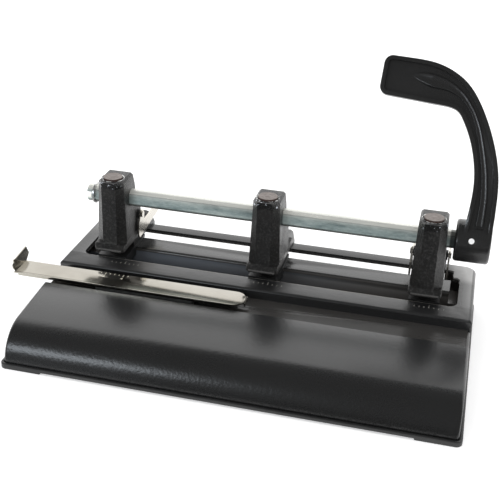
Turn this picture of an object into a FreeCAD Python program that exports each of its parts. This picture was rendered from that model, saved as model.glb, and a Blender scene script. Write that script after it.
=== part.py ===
import FreeCAD, Part
import math
import os

# Adjustable three-hole lever punch.  Millimetres.
# X runs along the row of punches, Y to the rear, Z up.  The origin lies on the
# desk, under the axis of the middle punch.

os.makedirs("parts", exist_ok=True)
Vec = FreeCAD.Vector
X_AXIS, Y_AXIS, Z_AXIS = Vec(1, 0, 0), Vec(0, 1, 0), Vec(0, 0, 1)

# ---- Driving dimensions ----------------------------------------------------
hole_pitch = 107.95            # 4 1/4 in between neighbouring punches
sheet = 1.5                    # pressed steel of the base
cover_sheet = 1.2              # pressed steel of the front table
edge_round = 1.8               # outer radius of the pressed edges
fit_gap = 0.05                 # radial clearance of every running fit
slide_gap = 0.1                # clearance under and beside sliding parts
part_gap = 0.3                 # clearance between separate pressings
over = 1.0                     # how far cutters and joined forms run past a face

# base shell
window_room = 21.55            # from the outer punches to the ends of the window
frame_end = 10.3               # deck beyond each end of the window
rear_round = 8.0               # plan radius of the two rear corners
back_y = 53.7
deck_z = 30.3
strip_front_y = -23.0          # where the deck steps down to the guide channel
shelf_z = 23.0                 # floor of the guide channel
seam_y = -49.2                 # front end of the shell's side walls
shelf_tongue = 9.0             # shelf sheet that runs on below the table
rear_return = 21.0             # width of the corner returns at the open rear
deck_flange = 3.0              # turned-down edge of the deck
window_front_y, window_back_y = -7.7, 43.4
window_end_length, window_end_back_y = 4.6, 33.4   # the window's ends are shallower than the rest
window_round, window_end_round, window_rear_round = 6.0, 3.5, 2.0

# front table
table_back_z = 27.7
nose_start_y, nose_start_z = -90.0, 24.5
front_y = -112.0

# chip pan
pan_floor = 1.6
pan_rim = 1.9                  # how far the rim stands out beyond the walls
pan_rim_bottom, pan_rim_top = 1.2, 3.6
pan_corner_pad = 27.0
pan_clearance = 0.2

# head rail
rail_front_y, rail_back_y = 13.9, 32.6
rail_top_z, rail_bottom_z = 29.0, 16.0
rail_end_gap = 6.0             # from the window's ends to the rail's
rail_round = 2.0
rail_dip = 8.5                 # drop of the rail's ends, which pass below the deck

# punch heads
head_top_z = 87.0
head_front_y, head_back_y = -9.5, 25.0
head_nose_half = 5.0           # flat front face
head_top_half, head_foot_half = 9.0, 10.7
head_corner_top, head_corner_foot = 6.0, 5.0   # how far back the corners reach
head_bevel = 1.5
head_crown_back = [(13.5, 87.0), (16.6, 78.0), (17.4, 72.0), (25.0, 60.0)]
throat_top_z, throat_back_y = 37.2, 12.7
jaw = 4.3                      # casting between the throat and the spring
jaw_fall = 3.0                 # drop of the jaw's top from the column to its front edge
jaw_front_y, jaw_back_y = -12.9, 38.6
jaw_half, jaw_corner = 10.8, 2.2
heel_half, heel_back_y = 8.8, 58.0
heel_hook, hook_z = 3.5, 24.5  # reach of the hook below the deck's rear edge
heel_crest = [(58.0, 30.0), (50.0, 41.0), (40.0, 47.0), (29.0, 51.0)]
boss_radius, boss_proud = 3.4, 0.6   # the latch boss stands out past the jaw's sides

# punches
pin_d, bore_d = 7.0, 12.1
collar_d, collar_top_z, collar_thick = 12.0, 61.5, 2.0
pin_top_z = 82.0
pin_hollow = 0.9               # depth of the hollow-ground cutting end
cap_proud, cap_thick = 1.0, 4.0
slot_half, slot_start_y = 1.9, 0.0
spring_wire, spring_turns, spring_clearance = 1.2, 4.5, 0.3

# die blocks
die_top_z, die_front_y, die_depth = 31.4, -7.2, 7.4
die_half = 10.0
die_screw_x, die_screw_y = 6.3, 24.0
die_screw_d, die_screw_head, die_screw_length = 3.5, 6.4, 7.0
anchor_d, anchor_head, anchor_head_h, anchor_length = 5.0, 9.0, 3.5, 8.0

# lever shaft and cams
shaft_d, shaft_y, shaft_z = 12.0, 9.9, 70.2
shaft_overhang = 10.2          # beyond the boss of the left head
shaft_flat, shaft_flat_tilt = 1.0, 8.0
shaft_slot_depth, shaft_slot_half = 3.2, 2.4
clip_inset, clip_width, clip_groove, clip_radius = 4.6, 1.0, 1.0, 7.2
clip_mouth = 4.0               # half the width of the clip's mouth
cam_radius, cheek_inner, cheek_outer = 7.2, 3.9, 5.9
nose_reach, nose_radius, nose_angle = 8.0, 2.6, 40.0
cross_bar_d = 3.0              # bar between the cam's cheeks, through the punch
pocket_bottom_z, pocket_top_z, pocket_front_y, pocket_half = 61.8, 79.2, -1.4, 6.2

# handle
handle_lean = 25.0             # degrees behind the vertical at rest
hub_radius, hub_length, hub_end_wall = 13.7, 22.6, 3.0
hub_room = 2.95                # from the boss of the right head to the hub
hub_round = 2.0
arm_thick, arm_rim, arm_recess, arm_back_round = 8.0, 2.6, 2.5, 3.0
arm_sink = 0.4                 # from the front of the hub back to the arm's front face
hub_pin_d, hub_pin_inset, hub_pin_proud = 3.6, 10.3, 0.4
# outline of the arm in its own plane: X from the hub's left face, and distance from the shaft axis
arm_inner = [(3.9, 0.0), (5.3, 12.0), (6.6, 25.7), (6.6, 38.4), (4.6, 50.9), (0.8, 63.2), (-5.2, 75.3),
             (-8.7, 79.9), (-14.0, 82.3), (-20.4, 83.1), (-39.7, 84.8), (-60.1, 86.7)]
arm_outer = [(-58.7, 112.1), (-36.8, 110.7), (-23.9, 108.7), (-14.6, 105.0), (-7.5, 100.5), (-1.6, 94.8),
             (2.8, 88.9), (9.6, 76.9), (14.9, 64.8), (18.9, 52.6), (21.5, 40.2), (22.4, 27.6),
             (22.4, 11.7), (22.0, 0.0)]
arm_tip_round = 5.5

# head latches
latch_y, latch_z = 20.5, 53.0
latch_pin_d, latch_pin_head, latch_pin_head_h = 3.0, 4.4, 0.6
latch_plate, latch_gap = 1.2, 0.3
latch_eye = 3.4
latch_bar_y, latch_bar_low_z, latch_bar_high_z = 54.0, 45.0, 52.5
# side outline of a latch cheek: below the pin and arm, then back along the arm's top
latch_under = [(13.4, 47.5), (13.4, 39.5), (15.2, 37.0), (24.0, 37.8), (34.0, 39.3), (40.0, 39.9),
               (53.5, 41.3)]
latch_over = [(48.0, 48.5), (35.0, 47.0), (24.6, 46.4)]

# sheet guide
guide_left_x, guide_right_x = -163.0, -4.2
guide_back_y, guide_width = -28.7, 17.6
guide_top_z, guide_sheet = 30.0, 0.9
guide_front_lip, guide_back_lip, guide_return, guide_stop_gap = 2.1, 3.7, 2.0, 3.0
guide_end_round = 7.8
guide_tab_width, guide_tab_drop = 8.6, 3.0   # bent-down tab at the right end
# upright stop at the guide's left end: (Y, Z) from its foot round to its foot
stop_outline = [(-28.7, 29.1), (-29.0, 30.0), (-24.4, 34.2), (-27.9, 40.4), (-43.9, 38.8), (-47.0, 39.1),
                (-46.4, 36.6), (-48.1, 35.8), (-48.1, 33.6), (-45.1, 30.0), (-44.0, 29.1)]
keeper_left_x, keeper_right_x = -105.0, -38.0
keeper_screw_d, keeper_screw_head, keeper_screw_inset = 3.0, 5.6, 14.0
keeper_screw_head_h, keeper_screw_length = 2.0, 4.5

# ---- Sizes that follow -----------------------------------------------------
window_half = hole_pitch + window_room
half_width = window_half + frame_end
rail_half = window_half - rail_end_gap
boss_half = jaw_half + boss_proud
shaft_left_x = -(hole_pitch + boss_half + shaft_overhang)
clip_x = shaft_left_x + clip_inset
hub_left_x = hole_pitch + boss_half + hub_room
hub_right_x = hub_left_x + hub_length
hub_pin_x = hub_left_x + hub_pin_inset
shaft_point = Vec(0, shaft_y, shaft_z)
pin_hole = pin_d / 2 + fit_gap
floor_z = throat_top_z + jaw
slot_z = shaft_z + nose_reach * math.sin(math.radians(nose_angle))
rail_middle_y = (rail_front_y + rail_back_y) / 2
tongue_z = rail_top_z + slide_gap
heel_z = deck_z + slide_gap
latch_inner = boss_half + latch_gap
latch_outer = latch_inner + latch_plate
guide_middle_y = guide_back_y - guide_width / 2


# ---- Shapes used by several parts -----------------------------------------
def box(x0, x1, y0, y1, z0, z1):
    return Part.makeBox(x1 - x0, y1 - y0, z1 - z0, Vec(x0, y0, z0))


def cylinder(radius, start, axis, length):
    return Part.makeCylinder(radius, length, start, axis)


def rounded_box(half_x, y0, y1, z0, z1, front_round, back_round):
    """A plate or block whose upright corners are rounded, front and back apart."""
    block = box(-half_x, half_x, y0, y1, z0, z1)
    for y, radius in ((y0, front_round), (y1, back_round)):
        block = fillet_where(block, radius, lambda p: near(abs(p.x), half_x) and near(p.y, y)
                             and near(p.z, (z0 + z1) / 2))
    return block


def side_prism(outline, x0, x1):
    """A (Y, Z) outline carried from x0 to x1."""
    wire = Part.makePolygon([Vec(x0, y, z) for y, z in outline + outline[:1]])
    return Part.Face(wire).extrude(Vec(x1 - x0, 0, 0))


def plan_prism(outline, z0, z1):
    """An (X, Y) outline carried up from z0 to z1."""
    wire = Part.makePolygon([Vec(x, y, z0) for x, y in outline + outline[:1]])
    return Part.Face(wire).extrude(Vec(0, 0, z1 - z0))


def fillet_where(shape, radius, chosen):
    """Round the edges whose middle point passes the test."""
    edges = [e for e in shape.Edges if chosen(e.valueAt((e.FirstParameter + e.LastParameter) / 2))]
    return shape.makeFillet(radius, edges)


def near(a, b):
    return abs(a - b) < 0.01


def moved(shape, x):
    copy = shape.copy()
    copy.translate(Vec(x, 0, 0))
    return copy


# ---- Base -----------------------------------------------------------------
def shell_block(inset, radius):
    """The base's outer form, or the hollow inside it when inset is the sheet."""
    past = over if inset else 0
    foot, back, front = pan_floor - past, back_y - inset, seam_y - past
    half, top, shelf, step = half_width - inset, deck_z - inset, shelf_z - inset, strip_front_y + inset
    outline = [(back, foot), (back, top), (step, top), (step, shelf), (front, shelf), (front, foot)]
    block = side_prism(outline, -half, half)
    block = fillet_where(block, rear_round - inset, lambda p: near(abs(p.x), half) and near(p.y, back))

    def long_edge(point):
        on_side = point.z > shelf - 1 and abs(point.x) > half - rear_round and not near(point.y, step)
        on_step = near(point.y, step) and near(point.z, top)
        on_back = near(point.y, back) and near(point.z, top)
        return on_step or on_back or (on_side and (near(point.z, top) or near(point.z, shelf))
                                      and not near(point.y, front))

    return fillet_where(block, radius, long_edge)


def keeper_screw_places():
    return keeper_left_x + keeper_screw_inset, keeper_right_x - keeper_screw_inset


def window_block(grow, z0, z1):
    """The window's form: shallow ends with rounded corners, and a deeper rear part between them."""
    ends = rounded_box(window_half + grow, window_front_y - grow, window_end_back_y + grow, z0, z1,
                       window_round + grow, window_end_round + grow)
    deep_half = window_half - window_end_length + grow
    deep = rounded_box(deep_half, rail_front_y, window_back_y + grow, z0, z1,
                       window_rear_round + grow, window_rear_round + grow)
    return ends.fuse(deep)


def base_frame():
    shell = shell_block(0, edge_round).cut(shell_block(sheet, edge_round - sheet))
    flange_z = deck_z - deck_flange
    opening = half_width - rear_return
    shell = shell.cut(box(-opening, opening, back_y - rear_round, back_y + over, 0, flange_z))
    window = window_block(0, flange_z - over, deck_z + over)
    curl = window_block(sheet, flange_z, deck_z - sheet / 2)
    tongue_half = half_width - 2 * edge_round
    tongue = box(-tongue_half, tongue_half, seam_y - shelf_tongue, seam_y + over, shelf_z - sheet, shelf_z)
    shell = shell.fuse([curl, tongue]).cut(window)
    for x in keeper_screw_places():
        shell = shell.cut(cylinder(keeper_screw_d / 2, Vec(x, guide_middle_y, shelf_z - 2 * sheet), Z_AXIS,
                                   3 * sheet))
    return shell.removeSplitter()


def table_outline(inset):
    """Side outline of the table: a gentle slope and a quarter-round nose."""
    back = seam_y - part_gap - inset
    fall = (table_back_z - nose_start_z) / (seam_y - nose_start_y)
    slope = math.atan(fall)
    radius = (nose_start_y - front_y) / (1 - math.sin(slope))
    centre_y = front_y + radius
    centre_z = nose_start_z - radius * math.cos(slope)
    foot = pan_floor - (over if inset else 0)
    arc_radius = radius - inset

    def on_nose(angle):
        return Vec(0, centre_y - arc_radius * math.cos(angle), centre_z + arc_radius * math.sin(angle))

    start_angle = math.pi / 2 - slope
    end_angle = math.asin((foot - centre_z) / arc_radius)
    start, end = on_nose(start_angle), on_nose(end_angle)
    top_back = Vec(0, back, start.z + fall * (back - start.y))
    low_back = Vec(0, back, foot)
    nose = Part.Arc(start, on_nose((start_angle + end_angle) / 2), end)
    lines = [Part.LineSegment(end, low_back), Part.LineSegment(low_back, top_back),
             Part.LineSegment(top_back, start)]
    return Part.Wire([nose.toShape()] + [line.toShape() for line in lines])


def table_block(inset, radius):
    half = half_width - inset
    face = Part.Face(table_outline(inset))
    face.translate(Vec(-half, 0, 0))
    block = face.extrude(Vec(2 * half, 0, 0))

    def side_edge(point):
        in_front = point.y < seam_y - part_gap - inset - 1
        return near(abs(point.x), half) and in_front and point.z > pan_floor + 1

    return fillet_where(block, radius, side_edge)


def table_cover():
    cover = table_block(0, edge_round).cut(table_block(cover_sheet, edge_round - cover_sheet))
    inside = half_width - cover_sheet
    back = seam_y - part_gap
    return cover.cut(box(-inside, inside, back - 2 * cover_sheet, back + over, 0, shelf_z))


def head_rail():
    end_top = rail_top_z - rail_dip
    channel = box(-rail_half, rail_half, rail_front_y, rail_back_y, rail_bottom_z, rail_top_z)
    channel = fillet_where(channel, rail_round,
                           lambda p: near(p.z, rail_top_z) and near(p.x, 0))
    reach = half_width - sheet
    ends = box(-reach, reach, rail_front_y, rail_back_y, rail_bottom_z, end_top)
    hollow = box(-rail_half + sheet, rail_half - sheet, rail_front_y + sheet, rail_back_y - sheet,
                 rail_bottom_z - over, rail_top_z - sheet)
    end_hollow = box(-reach + sheet, reach - sheet, rail_front_y + sheet, rail_back_y - sheet,
                     rail_bottom_z - over, end_top - sheet)
    rail = channel.fuse(ends.cut(end_hollow)).cut(hollow)
    hole = cylinder(anchor_d / 2, Vec(0, rail_middle_y, rail_bottom_z), Z_AXIS, rail_top_z)
    return rail.cut(hole).removeSplitter()


def chip_pan():
    """Shallow tray: flat floor, a rim that stands out all round, and four corner pads."""
    half, front, back = half_width + pan_clearance, front_y - pan_clearance, back_y + pan_clearance
    front_round, back_round = edge_round + pan_clearance, rear_round + pan_clearance

    def plate(grow, z0, z1):
        return rounded_box(half + grow, front - grow, back + grow, z0, z1, front_round + grow,
                           back_round + grow)

    rim = plate(pan_rim, pan_rim_bottom, pan_rim_top).cut(plate(0, pan_floor, pan_rim_top + over))
    pads = plate(pan_rim, 0, pan_rim_bottom)
    reach = half + pan_rim - pan_corner_pad
    pads = pads.cut(box(-reach, reach, front - 2 * pan_rim, back + 2 * pan_rim, -over,
                        pan_rim_bottom + over))
    pads = pads.cut(box(-2 * half, 2 * half, front - pan_rim + pan_corner_pad,
                        back + pan_rim - pan_corner_pad, -over, pan_rim_bottom + over))
    return rim.fuse([plate(0, 0, pan_floor), pads]).removeSplitter()


# ---- Punch heads ----------------------------------------------------------
def column_section(half, corner, z):
    """Plan outline of the column: flat nose, slanted corners, straight sides."""
    side_y = head_front_y + corner
    plan = [(-head_nose_half, head_front_y), (head_nose_half, head_front_y), (half, side_y),
            (half, head_back_y), (-half, head_back_y), (-half, side_y)]
    return Part.makePolygon([Vec(x, y, z) for x, y in plan + plan[:1]])


def head_column():
    foot = column_section(head_foot_half, head_corner_foot, throat_top_z)
    shoulder = column_section(head_top_half, head_corner_top, head_top_z - head_bevel)
    column = Part.makeLoft([foot, shoulder], True, True)
    crown = column_section(head_top_half - head_bevel, head_corner_top, head_top_z)
    column = column.fuse(Part.makeLoft([shoulder, crown], True, True))
    far, above = head_back_y + over, head_top_z + over
    behind = head_crown_back + [(far, head_crown_back[-1][1]), (far, above), (head_crown_back[0][0], above)]
    return column.cut(side_prism(behind, -head_foot_half, head_foot_half))


def upper_jaw():
    """Plate round the foot of the column: slanted corners, top falling to its front edge."""
    corner_y, corner_x = jaw_front_y + jaw_corner, jaw_half - jaw_corner
    plan = [(-corner_x, jaw_front_y), (corner_x, jaw_front_y), (jaw_half, corner_y), (jaw_half, jaw_back_y),
            (-jaw_half, jaw_back_y), (-jaw_half, corner_y)]
    side = [(jaw_front_y, throat_top_z), (jaw_front_y, floor_z - jaw_fall), (head_front_y, floor_z),
            (jaw_back_y, floor_z), (jaw_back_y, throat_top_z)]
    return plan_prism(plan, throat_top_z, floor_z).common(side_prism(side, -jaw_half, jaw_half))


def head_foot():
    """Wall behind the throat, seat on the die block, and the heel that hooks behind the deck."""
    flange_z = deck_z - deck_flange - part_gap
    behind_deck = back_y + part_gap
    hook_front = behind_deck - heel_hook
    seat = [(throat_back_y, throat_top_z + over), (throat_back_y, die_top_z), (rail_back_y, die_top_z),
            (rail_back_y, heel_z), (behind_deck, heel_z), (behind_deck, flange_z), (hook_front, flange_z),
            (hook_front, hook_z), (heel_back_y, hook_z)]
    inside = [(head_back_y - over, heel_crest[-1][1]), (head_back_y - over, throat_top_z + over)]
    return side_prism(seat + heel_crest + inside, -heel_half, heel_half)


def anchor_hole():
    return cylinder(anchor_d / 2, Vec(0, rail_middle_y, rail_top_z - over), Z_AXIS, anchor_length)


def head_casting(latched, anchored):
    head = head_column().fuse([upper_jaw(), head_foot()])
    if latched:
        head = head.fuse(cylinder(boss_radius, Vec(-boss_half, latch_y, latch_z), X_AXIS, 2 * boss_half))
    behind = head_back_y + over
    cuts = [cylinder(bore_d / 2, Vec(0, 0, floor_z), Z_AXIS, head_top_z),
            cylinder(pin_hole, Vec(0, 0, throat_top_z - over), Z_AXIS, jaw + 2 * over),
            cylinder(shaft_d / 2 + fit_gap, shaft_point - X_AXIS * half_width, X_AXIS, 2 * half_width),
            box(-pocket_half, pocket_half, pocket_front_y, behind, pocket_bottom_z, pocket_top_z)]
    cuts += [die_screw(side, 0) for side in (-1, 1)]
    if latched:
        cuts.append(cylinder(latch_pin_d / 2, Vec(-half_width, latch_y, latch_z), X_AXIS, 2 * half_width))
    if anchored:
        cuts.append(anchor_hole())
    return head.cut(cuts).removeSplitter()


def die_block(anchored):
    """Block in the pit with the hole the punch enters, and a tongue between rail and casting."""
    block = box(-die_half, die_half, die_front_y, rail_front_y - part_gap, die_top_z - die_depth, die_top_z)
    tongue = box(-die_half, die_half, rail_front_y - 2 * part_gap, rail_back_y, tongue_z, die_top_z)
    cuts = [cylinder(pin_hole, Vec(0, 0, die_top_z - die_depth - over), Z_AXIS, die_depth + 2 * over)]
    cuts += [die_screw(side, 0) for side in (-1, 1)]
    if anchored:
        cuts.append(anchor_hole())
    return block.fuse(tongue).cut(cuts).removeSplitter()


def die_screw(side, shortfall):
    """Countersunk screw, driven up through the tongue into the casting."""
    start = Vec(side * die_screw_x, die_screw_y, tongue_z)
    cone_height = (die_screw_head - die_screw_d) / 2
    head = Part.makeCone(die_screw_head / 2, die_screw_d / 2, cone_height, start)
    return head.fuse(cylinder(die_screw_d / 2, start, Z_AXIS, die_screw_length - shortfall))


def die_screws():
    return Part.makeCompound([die_screw(side, part_gap) for side in (-1, 1)])


def anchor_screw():
    under = rail_top_z - sheet
    head = cylinder(anchor_head / 2, Vec(0, rail_middle_y, under - anchor_head_h), Z_AXIS, anchor_head_h)
    shank = anchor_length + sheet - over - part_gap
    return head.fuse(cylinder(anchor_d / 2, Vec(0, rail_middle_y, under), Z_AXIS, shank))


# ---- Punches --------------------------------------------------------------
def punch_pin():
    """Punch with a guide collar, a slot open to the rear, and a hollow-ground end."""
    pin = cylinder(pin_d / 2, Vec(0, 0, throat_top_z), Z_AXIS, pin_top_z - throat_top_z)
    collar = cylinder(collar_d / 2, Vec(0, 0, collar_top_z - collar_thick), Z_AXIS, collar_thick)
    slot = box(-pin_d, pin_d, slot_start_y, pin_d, slot_z - slot_half, slot_z + slot_half)
    hollow = cylinder(pin_d, Vec(-pin_d, 0, throat_top_z + pin_hollow - pin_d), X_AXIS, 2 * pin_d)
    return pin.fuse(collar).cut([slot, hollow]).removeSplitter()


def bore_cap():
    cap = cylinder(bore_d / 2, Vec(0, 0, head_top_z + cap_proud - cap_thick), Z_AXIS, cap_thick)
    return fillet_where(cap, cap_proud / 2, lambda p: near(p.z, head_top_z + cap_proud))


def punch_spring():
    """Coil between the casting's floor and the punch's collar."""
    radius = collar_d / 2 - spring_wire / 2 - spring_clearance
    low = floor_z + spring_wire / 2 + fit_gap
    high = collar_top_z - collar_thick - spring_wire / 2 - fit_gap
    path = Part.makeHelix((high - low) / spring_turns, high - low, radius)
    section = Part.Wire(Part.makeCircle(spring_wire / 2, Vec(radius, 0, 0), Y_AXIS))
    coil = Part.Wire(path).makePipeShell([section], True, True)
    coil.translate(Vec(0, 0, low))
    return coil


def drive_cam():
    """Two cheeks keyed on the shaft's flat, joined by a bar through the punch's slot."""
    tilt = math.radians(nose_angle)
    nose_point = shaft_point + Vec(0, -math.cos(tilt), math.sin(tilt)) * nose_reach
    pieces = []
    for x in (-cheek_outer, cheek_inner):
        pieces.append(cylinder(cam_radius, shaft_point + X_AXIS * x, X_AXIS, cheek_outer - cheek_inner))
        pieces.append(cylinder(nose_radius, nose_point + X_AXIS * x, X_AXIS, cheek_outer - cheek_inner))
    bar = cylinder(cross_bar_d / 2, nose_point - X_AXIS * cheek_outer, X_AXIS, 2 * cheek_outer)
    cam = pieces[0].fuse(pieces[1:] + [bar])
    return cam.cut(keyed_bar(fit_gap, -half_width, half_width)).removeSplitter()


def keyed_bar(grow, x0, x1):
    """Round bar with one flat; grow makes the matching hole."""
    bar = cylinder(shaft_d / 2 + grow, Vec(x0, shaft_y, shaft_z), X_AXIS, x1 - x0)
    flat_at = shaft_d / 2 - shaft_flat + grow
    cutter = box(x0 - over, x1 + over, -shaft_d, -flat_at, -shaft_d, shaft_d)
    cutter.rotate(Vec(0, 0, 0), X_AXIS, -shaft_flat_tilt)
    cutter.translate(shaft_point)
    return bar.cut(cutter)


# ---- Lever ----------------------------------------------------------------
def lean(shape):
    """Set a shape built upright on the shaft axis to the handle's rest angle."""
    shape = shape.copy()
    shape.rotate(Vec(0, 0, 0), X_AXIS, -handle_lean)
    shape.translate(shaft_point)
    return shape


def hub_pin(extra):
    half = hub_radius + extra
    return lean(cylinder(hub_pin_d / 2, Vec(hub_pin_x, -half, 0), Y_AXIS, 2 * half))


def lever_shaft():
    shaft = keyed_bar(0, shaft_left_x, hub_left_x)
    shaft = shaft.fuse(cylinder(shaft_d / 2, Vec(hub_left_x, shaft_y, shaft_z), X_AXIS,
                                hub_right_x - hub_end_wall - hub_left_x))
    slot = box(shaft_left_x - over, shaft_left_x + shaft_slot_depth, shaft_y - shaft_d, shaft_y + shaft_d,
               shaft_z - shaft_slot_half, shaft_z + shaft_slot_half)
    groove = clip_ring(shaft_d)
    return shaft.cut([slot, groove, hub_pin(over)]).removeSplitter()


def clip_ring(outer_radius):
    """Ring round the shaft from the groove's floor outwards."""
    start = Vec(clip_x, shaft_y, shaft_z)
    ring = cylinder(outer_radius, start, X_AXIS, clip_width)
    return ring.cut(cylinder(shaft_d / 2 - clip_groove, start, X_AXIS, clip_width))


def shaft_clip():
    """Snap ring with a mouth at the rear, pushed on over the groove."""
    mouth = box(clip_x - over, clip_x + clip_width + over, shaft_y, shaft_y + shaft_d,
                shaft_z - clip_mouth, shaft_z + clip_mouth)
    return clip_ring(clip_radius).cut(mouth)


def moved_in(points, inset):
    """Corners of an outline that runs clockwise, moved so that each side goes in by the inset."""
    result = []
    for before, here, after in zip(points[-1:] + points[:-1], points, points[1:] + points[:1]):
        sides = [Vec(b[0] - a[0], b[1] - a[1], 0).normalize() for a, b in ((before, here), (here, after))]
        inward = [Vec(side.y, -side.x, 0) for side in sides]
        shift = (inward[0] + inward[1]) * (inset / (1 + inward[0].dot(inward[1])))
        result.append((here[0] + shift.x, here[1] + shift.y))
    return result


def arm_face(inset):
    """Outline of the arm, or the outline moved in by the rim's width."""
    points = [Vec(hub_left_x + x, 0, r) for x, r in moved_in(arm_inner + arm_outer, inset)]
    first_outer = len(arm_inner)
    edges = []
    for run in (points[:first_outer], points[first_outer:]):
        spline = Part.BSplineCurve()
        spline.interpolate(run)
        edges.append(spline.toShape())
    for a, b in ((points[first_outer - 1], points[first_outer]), (points[-1], points[0])):
        edges.append(Part.LineSegment(a, b).toShape())
    return Part.Face(Part.Wire(Part.__sortEdges__(edges)))


def arm():
    """Curved arm, nearly flush with the hub's front, with a recess that leaves a rim on its front face."""
    front = arm_sink - hub_radius
    middle, back = front + arm_thick / 2, front + arm_thick
    tip = hub_left_x + arm_outer[0][0] + arm_tip_round
    plate = arm_face(0)
    plate.translate(Vec(0, front, 0))
    plate = plate.extrude(Vec(0, arm_thick, 0))
    plate = fillet_where(plate, arm_tip_round, lambda p: near(p.y, middle) and p.x < tip)
    plate = fillet_where(plate, arm_back_round, lambda p: near(p.y, back) and p.z > arm_back_round)
    recess = arm_face(arm_rim)
    recess.translate(Vec(0, front - over, 0))
    recess = recess.extrude(Vec(0, arm_recess + over, 0))
    recess = fillet_where(recess, arm_tip_round - arm_rim,
                          lambda p: near(p.y, front + (arm_recess - over) / 2) and p.x < tip)
    return plate.cut(recess)


def handle():
    """Cast lever: a round hub on the shaft and the arm that rises from it."""
    hub = cylinder(hub_radius, Vec(hub_left_x, 0, 0), X_AXIS, hub_right_x - hub_left_x)
    hub = fillet_where(hub, hub_round, lambda p: near(p.x, hub_left_x) or near(p.x, hub_right_x))
    lever = lean(arm().fuse(hub))
    bore = cylinder(shaft_d / 2, Vec(hub_left_x - over, shaft_y, shaft_z), X_AXIS,
                    hub_right_x - hub_end_wall - hub_left_x + over)
    return lever.cut([bore, hub_pin(over)]).removeSplitter()


# ---- Head latches ---------------------------------------------------------
def latch():
    """Stirrup of sheet steel: two cheeks hung on a pin, joined by a thumb bar over the heel."""
    back = latch_bar_y + latch_plate
    cheek = latch_under + [(back, latch_bar_low_z), (back, latch_bar_high_z)]
    cheek += [(latch_bar_y, latch_bar_high_z)] + latch_over
    cheek += [(latch_y + latch_eye, latch_z), (latch_y - latch_eye, latch_z)]
    pieces = [box(-latch_outer, latch_outer, latch_bar_y, back, latch_bar_low_z, latch_bar_high_z)]
    for x0 in (-latch_outer, latch_inner):
        pieces.append(side_prism(cheek, x0, x0 + latch_plate))
        pieces.append(cylinder(latch_eye, Vec(x0, latch_y, latch_z), X_AXIS, latch_plate))
    hole = cylinder(latch_pin_d / 2 + fit_gap, Vec(-half_width, latch_y, latch_z), X_AXIS, 2 * half_width)
    return pieces[0].fuse(pieces[1:]).cut(hole).removeSplitter()


def latch_pin():
    reach = latch_outer + slide_gap
    pin = cylinder(latch_pin_d / 2, Vec(-reach, latch_y, latch_z), X_AXIS, 2 * reach)
    ends = [cylinder(latch_pin_head / 2, Vec(x, latch_y, latch_z), X_AXIS, latch_pin_head_h)
            for x in (-reach - latch_pin_head_h, reach)]
    return pin.fuse(ends)


# ---- Sheet guide ----------------------------------------------------------
def guide_slide():
    """Channel strip that runs on the keeper, with an upright stop at its left end."""
    front = guide_back_y - guide_width
    top = box(guide_left_x, guide_right_x, front, guide_back_y, guide_top_z - guide_sheet, guide_top_z)
    top = fillet_where(top, guide_end_round,
                       lambda p: near(p.x, guide_right_x) and not near(p.y, guide_middle_y))
    lip_left, lip_right = guide_left_x + guide_stop_gap, guide_right_x - guide_end_round
    lip_top, low = guide_top_z - guide_sheet / 2, guide_top_z - guide_back_lip
    pieces = [side_prism(stop_outline, guide_left_x, guide_left_x + guide_sheet),
              box(lip_left, lip_right, front, front + guide_sheet, guide_top_z - guide_front_lip, lip_top),
              box(lip_left, lip_right, guide_back_y - guide_sheet, guide_back_y, low, lip_top),
              box(lip_left, lip_right, guide_back_y - guide_sheet - guide_return, guide_back_y,
                  low, low + guide_sheet)]
    tab_half = guide_tab_width / 2
    pieces.append(box(guide_right_x - guide_sheet, guide_right_x + guide_sheet, guide_middle_y - tab_half,
                      guide_middle_y + tab_half, guide_top_z - guide_sheet, guide_top_z))
    pieces.append(box(guide_right_x, guide_right_x + guide_sheet, guide_middle_y - tab_half,
                      guide_middle_y + tab_half, guide_top_z - guide_tab_drop, guide_top_z))
    return top.fuse(pieces).removeSplitter()


def guide_keeper():
    """Runner fixed to the shelf, with a groove along its rear face for the guide's rear lip."""
    front = guide_back_y - guide_width + guide_sheet + slide_gap
    back = guide_back_y - guide_sheet - slide_gap
    groove_top = guide_top_z - guide_back_lip + guide_sheet + slide_gap
    runner = box(keeper_left_x, keeper_right_x, front, back, shelf_z, guide_top_z - guide_sheet - slide_gap)
    groove = box(keeper_left_x - over, keeper_right_x + over, back - guide_return - slide_gap, back + over,
                 shelf_z - over, groove_top)
    bite = keeper_screw_length - sheet + slide_gap
    holes = [cylinder(keeper_screw_d / 2, Vec(x, guide_middle_y, shelf_z), Z_AXIS, bite)
             for x in keeper_screw_places()]
    return runner.cut([groove] + holes).removeSplitter()


def keeper_screws():
    under = shelf_z - sheet
    screws = []
    for x in keeper_screw_places():
        head = cylinder(keeper_screw_head / 2, Vec(x, guide_middle_y, under - keeper_screw_head_h), Z_AXIS,
                        keeper_screw_head_h)
        shank = cylinder(keeper_screw_d / 2, Vec(x, guide_middle_y, under), Z_AXIS, keeper_screw_length)
        screws.append(head.fuse(shank))
    return Part.makeCompound(screws)


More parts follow.
